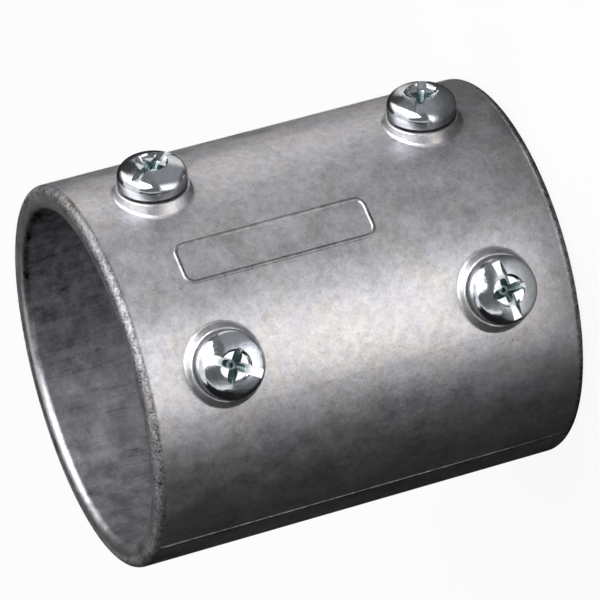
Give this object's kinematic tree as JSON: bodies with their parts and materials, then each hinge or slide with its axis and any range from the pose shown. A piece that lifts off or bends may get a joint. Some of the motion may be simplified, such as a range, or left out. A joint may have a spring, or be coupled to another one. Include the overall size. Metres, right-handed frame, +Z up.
{
  "type": "set screw conduit coupling",
  "caption": "Short cast metal sleeve that joins two lengths of thin wall conduit end to end; combination-drive clamping screws bear on the conduits from one side.",
  "frame": {"origin": "on the conduit's axis, in the plane of the lower end face", "axes": "+Z up along the conduit's axis, from the lower end to the upper; the screws are on the -Y side, which is the front; +X is to the right when the screws are looked at"},
  "size_m": [0.0516, 0.0532, 0.0599],
  "materials": {
    "casting": "satin die casting, tumbled, with a fine mottle",
    "screws": "bright zinc plate"
  },
  "bodies": {
    "coupling": {"coupling_body": "casting"},
    "clamp_screw_upper_left": {"screw_upper_left": "screws"},
    "clamp_screw_upper_right": {"screw_upper_right": "screws"},
    "clamp_screw_lower_left": {"screw_lower_left": "screws"},
    "clamp_screw_lower_right": {"screw_lower_right": "screws"}
  },
  "joints": [
    {"name": "upper_left_screw_travel", "type": "slide", "parent": "coupling", "child": "clamp_screw_upper_left", "axis": [-0.5, -0.866, 0], "range_m": [-0.0003, 0.0026]},
    {"name": "upper_right_screw_travel", "type": "slide", "parent": "coupling", "child": "clamp_screw_upper_right", "axis": [0.5, -0.866, 0], "range_m": [-0.0003, 0.0026]},
    {"name": "lower_left_screw_travel", "type": "slide", "parent": "coupling", "child": "clamp_screw_lower_left", "axis": [-0.5, -0.866, 0], "range_m": [-0.0003, 0.0026]},
    {"name": "lower_right_screw_travel", "type": "slide", "parent": "coupling", "child": "clamp_screw_lower_right", "axis": [0.5, -0.866, 0], "range_m": [-0.0003, 0.0026]}
  ]
}
